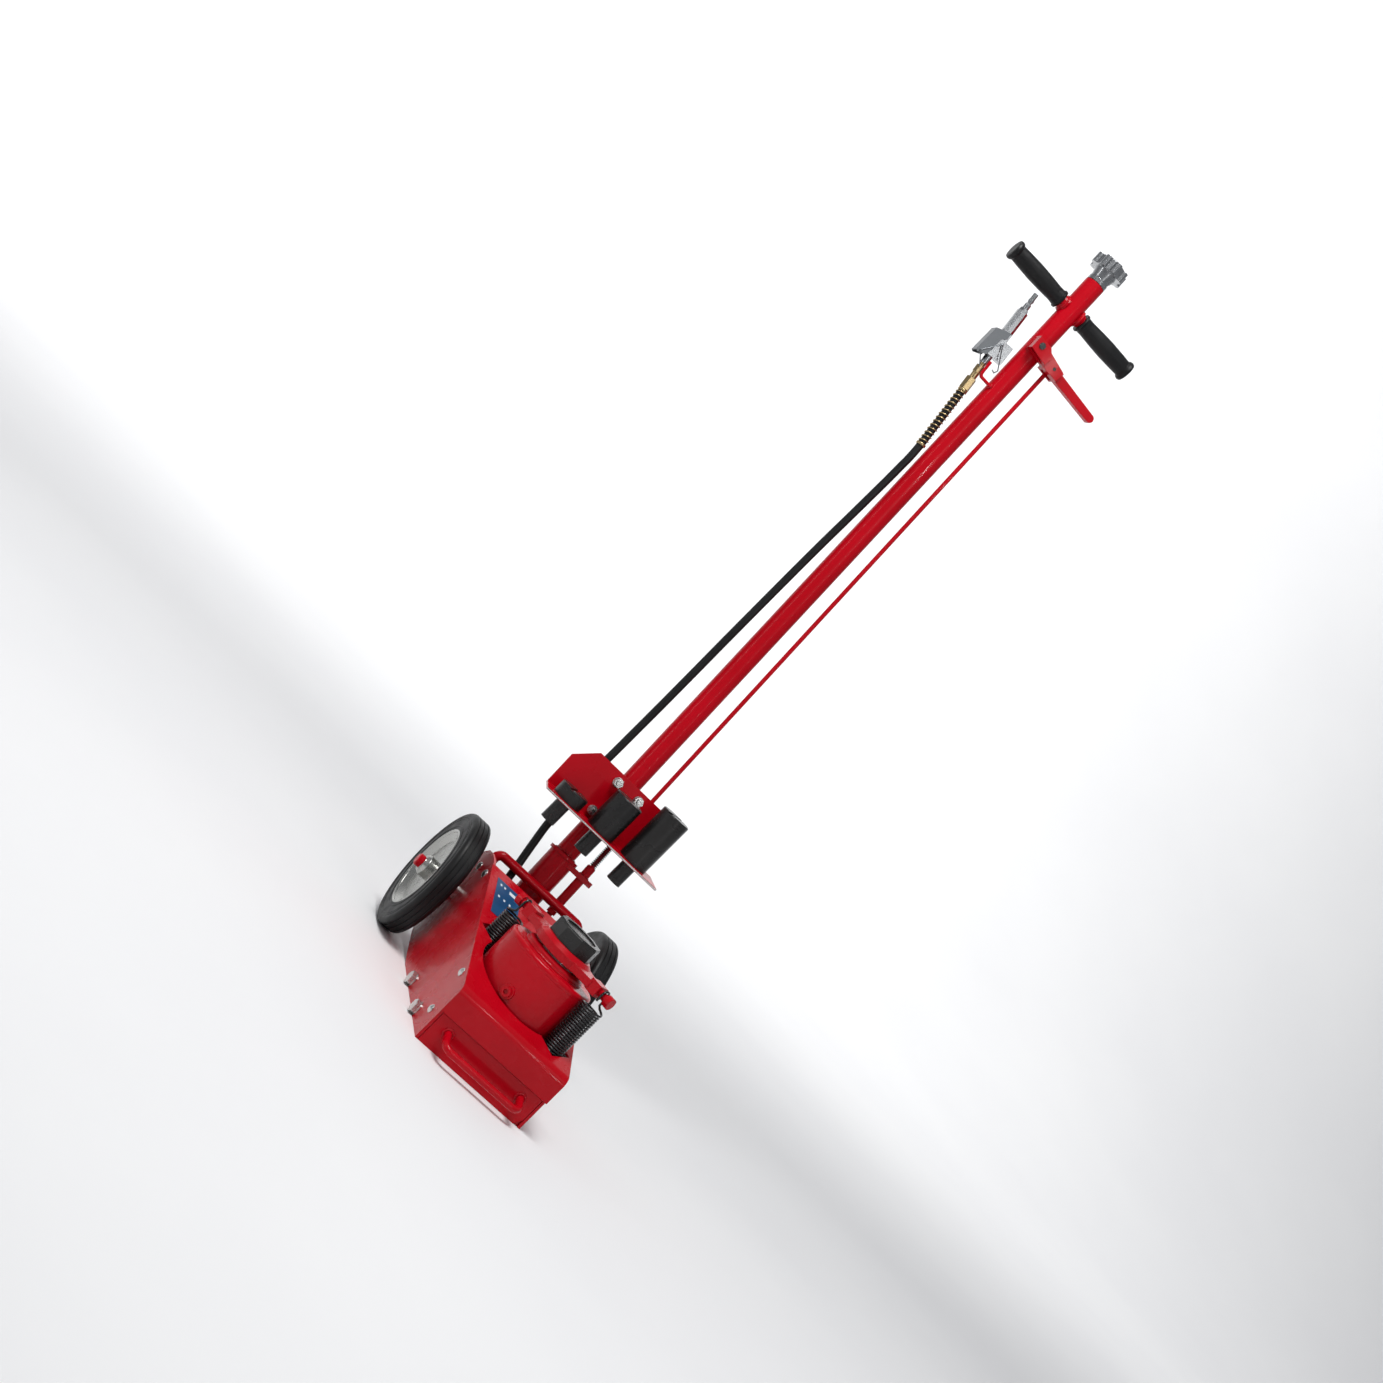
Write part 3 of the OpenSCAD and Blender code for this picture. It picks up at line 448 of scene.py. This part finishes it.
def add_return_spring(name, side):
    """A close coil whose top end hooks over the cross bar's neck."""
    wire, coil_radius, turns = 0.0016, 0.0146, 30
    hook = 0.008
    turn = -BAR_TURN + (0 if side > 0 else math.pi)
    centre = Vector((side * SPRING_OFF * math.cos(BAR_TURN), -side * SPRING_OFF * math.sin(BAR_TURN), 0))
    place = Matrix.Translation(centre) @ Matrix.Rotation(turn, 4, "Z")
    coil = helix(coil_radius, COIL_LOW + wire, COIL_TOP - 0.004, turns, 20)
    bend = [(0.0143, 0.0042, COIL_TOP - 0.0035), (0.0124, 0.0076, COIL_TOP - 0.0022),
            (0.0084, 0.0098, COIL_TOP - 0.0008), (0.0032, 0.0098, COIL_TOP + 0.001),
            (0, 0.0088, COIL_TOP + 0.004)]
    loop = arc((0, 0, BAR_Z), hook, 0, 180, ((0, 1, 0), (0, 0, 1)), 16)
    tail = [(0, -hook, BAR_Z - 0.004), (0, -hook, BAR_Z - 0.009)]
    path = [place @ Vector(p) for p in coil + bend + [(0, hook, BAR_Z - 0.006)] + loop + tail]
    verts, faces = sweep([path], wire, 8)
    spring = finished(name, verts, faces, OXIDE, None)
    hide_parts(name.replace("coil", "spring"))
    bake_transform(spring)


def add_lock_spring():
    """The spring between the lock rod's guide and the rod's collar."""
    low, high = GUIDE_TOP + 0.001, GUIDE_TOP + 0.0465
    wire, coil_radius, turns = 0.0008, 0.0048, 15
    coil = [ROD @ p for p in helix(coil_radius, low, high, turns, 18)]
    verts, faces = sweep([coil], wire, 8)
    spring = finished("lock_coil", verts, faces, OXIDE, None)
    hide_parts("lock_spring")
    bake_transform(spring)


add_return_spring("return_coil_right", 1)
add_return_spring("return_coil_left", -1)
add_lock_spring()


# ---------- welds ----------

def weld(name, body, paths, radius=0.0022):
    """Beads of weld: rounded lines whose thickness ripples as a hand-laid seam's does."""
    def thickness(i):
        return radius * (1 + 0.14 * math.sin(2.1 * i) + 0.08 * math.sin(5.3 * i + 1))
    verts, faces = sweep(paths, thickness, 8)
    bead = finished(name, verts, faces, RED_ROUGH, body)


def circle_at(place, radius, steps=48):
    """A closed circle in a frame's XY plane."""
    points = [place @ Vector((radius * math.cos(2 * math.pi * i / steps),
                              radius * math.sin(2 * math.pi * i / steps), 0)) for i in range(steps)]
    return points + points[:1]


def upright(x, y, z):
    """A frame at a place, with Z up."""
    return Matrix.Translation((x, y, z))


def add_welds():
    """Rings and seams of weld, each named after the part that it holds."""
    gland_foot, gland_r = 0.1685, 0.0462
    weld("gland_weld", "chassis", [circle_at(upright(0, 0, gland_foot), gland_r, 90)], 0.0024)

    front = towards((0, 0, 0), (0, -1, 0))
    carry_x, carry_y, carry_z, carry_r = 0.063, -0.1072, 0.030, 0.0062
    weld("carry_handle_weld", "chassis",
         [circle_at(upright(x, carry_y, carry_z) @ front, carry_r) for x in (-carry_x, carry_x)], 0.002)

    leg_x, leg_r, seam_foot, seam_step = 0.0865, 0.0062, 0.148, 0.0025
    weld("guard_bar_weld", "chassis",
         [[(side * leg_x, AXLE_Y + dy, z) for z in (seam_foot + seam_step * i for i in range(12))]
          for side in (-1, 1) for dy in (-leg_r, leg_r)], 0.0018)

    sideways = [towards((0, 0, 0), (side, 0, 0)) for side in (-1, 1)]
    bar_r = 0.0125
    weld("t_bar_weld", "handle",
         [circle_at(HANDLE @ upright(side * (TUBE_R + 0.0005), 0, TEE_AT) @ turn, bar_r)
          for side, turn in zip((-1, 1), sideways)], 0.0018)
    tube_seam, socket_seam, socket_r = 0.2412, 0.131, 0.022
    weld("socket_weld", "handle", [circle_at(HANDLE @ upright(0, 0, tube_seam), TUBE_R + 0.001),
                                   circle_at(HANDLE @ upright(0, 0, socket_seam), socket_r)], 0.0017)
    weld("lock_guide_weld", "handle",
         [circle_at(ROD @ upright(0, 0, 0.2362), 0.0075, 30)], 0.0014)
    weld("lever_bracket_weld", "handle",
         [[HANDLE @ Vector((-0.0142, -0.0124, 1.2335 + 0.0015 * i)) for i in range(14)]], 0.0016)
    weld("hook_weld", "handle",
         [circle_at(HANDLE @ upright(-0.0135, -0.009, 1.153) @ sideways[0], 0.003, 24)], 0.0012)


add_welds()


# ---------- the painted highlight on the rack's front edge ---

def add_rack_edge_highlight():
    """A painted highlight: a thin bright zinc strip along the front edge of the rack's shelf."""
    top, low, front, depth = 0.2996, 0.2975, 0.2447, 0.0009
    outline = [(front, top), (front + depth, top), (front + depth, low), (front, low)]
    ends = (-0.1072, -0.06, 0.0, 0.06, 0.1084)
    verts = [(x, y, z) for x in ends for y, z in outline]
    faces = [(i * 4 + k, i * 4 + (k + 1) % 4, i * 4 + 4 + (k + 1) % 4, i * 4 + 4 + k)
             for i in range(len(ends) - 1) for k in range(4)]
    last = 4 * (len(ends) - 1)
    faces += [(3, 2, 1, 0), (last, last + 1, last + 2, last + 3)]
    # painted highlight: a bright zinc strip standing for the light caught along the shelf's edge
    edge = finished("rack_edge", verts, faces, ZINC, "handle", smooth=False)


add_rack_edge_highlight()


# ---------- wheels ----------

# Each ring on a tyre's side: its radius, its height and half its width
TYRE_RINGS = ((0.0895, 0.0007, 0.0009), (0.0855, 0.0007, 0.0009), (0.0725, 0.0009, 0.0014))


def add_tyre_ridges(name, side):
    """Raised rings on a tyre's outer side, and the rim's rolled edge."""
    place = Matrix.Translation((0, AXLE_Y, WHEEL_R)) @ Matrix.Rotation(math.radians(90 * side), 4, "Y")
    verts, faces = [], []
    for radius, height, half in TYRE_RINGS:
        face = TYRE_FACE - 0.0002
        outline = [(radius - half, face - 0.001), (radius + half, face - 0.001), (radius + half, face),
                   (radius + 0.5 * half, face + height), (radius - 0.5 * half, face + height),
                   (radius - half, face)]
        more_verts, more_faces = lathe(outline, place, 96)
        faces += [tuple(len(verts) + k for k in f) for f in more_faces]
        verts += more_verts
    ridges = finished("tyre_ridges_" + name, verts, faces, TYRE, "wheel_" + name)
    rim = [(RIM_R - 0.0035, TYRE_FACE - 0.006), (RIM_R + 0.0002, TYRE_FACE - 0.006),
           (RIM_R + 0.0012, TYRE_FACE - 0.0012), (RIM_R + 0.0006, TYRE_FACE + 0.0004),
           (RIM_R - 0.0012, TYRE_FACE + 0.0006), (RIM_R - 0.003, TYRE_FACE - 0.0014)]
    verts, faces = lathe(rim, place, 96)
    edge = finished("rim_edge_" + name, verts, faces, SILVER, "wheel_" + name)


add_tyre_ridges("left", -1)
add_tyre_ridges("right", 1)


# ---------- stage and lights ----------

def add_stage():
    """A pale floor that curves up into a backdrop."""
    front, flat_end, curve, top, half_wide = -9, 3.2, 3, 9, 11
    profile = [(front, 0), (flat_end, 0)]
    profile += [(flat_end + curve * math.sin(math.radians(a)), curve - curve * math.cos(math.radians(a)))
                for a in range(6, 91, 6)]
    profile += [(flat_end + curve, top)]
    verts = [(x, y, z) for x in (-half_wide, half_wide) for y, z in profile]
    count = len(profile)
    faces = [(i, i + 1, count + i + 1, count + i) for i in range(count - 1)]
    surface = Surface("studio_paper", Roughness=0.75)
    drift = surface.spread(surface.noise(1.5, 3), 0.3, 0.7)
    surface.to("Base Color", surface.mix(drift, (0.86, 0.86, 0.86), (0.83, 0.83, 0.835)))
    finished("studio_floor", verts, faces, surface.material, None)


def add_light(name, place, target, size, power):
    """A rectangular light at a place, aimed at a target: size in metres, power in watts."""
    light = bpy.data.objects.new(name, bpy.data.lights.new(name, "AREA"))
    light.data.shape = "RECTANGLE"
    light.data.size, light.data.size_y = size
    light.data.energy = power
    turn = (Vector(place) - Vector(target)).to_track_quat("Z", "Y").to_matrix().to_4x4()
    light.matrix_world = Matrix.Translation(place) @ turn
    bpy.context.scene.collection.objects.link(light)


def add_world():
    world = bpy.data.worlds.new("studio")
    world.use_nodes = True
    background = world.node_tree.nodes["Background"]
    background.inputs["Color"].default_value = (0.93, 0.95, 1, 1)
    background.inputs["Strength"].default_value = 0.3
    bpy.context.scene.world = world


add_stage()
add_world()
add_light("key", (-0.8, -0.6, 3.3), (0, 0.3, 0.3), (1.2, 1.2), 78)
add_light("tall_strip", (0.95, -2.6, 1.62), (0, 0.3, 1.6), (0.03, 2.9), 5)
add_light("soft_left", (-2.9, -0.6, 1.4), (0, 0.3, 0.8), (0.2, 1.6), 6)
add_light("low_strip", (0.6, -2.7, 2.2), (0.6, -0.1, 0.1), (1.2, 0.03), 7)
add_light("backdrop", (0, 2.2, 3.4), (0, 6.0, 2.2), (7, 1.5), 230)
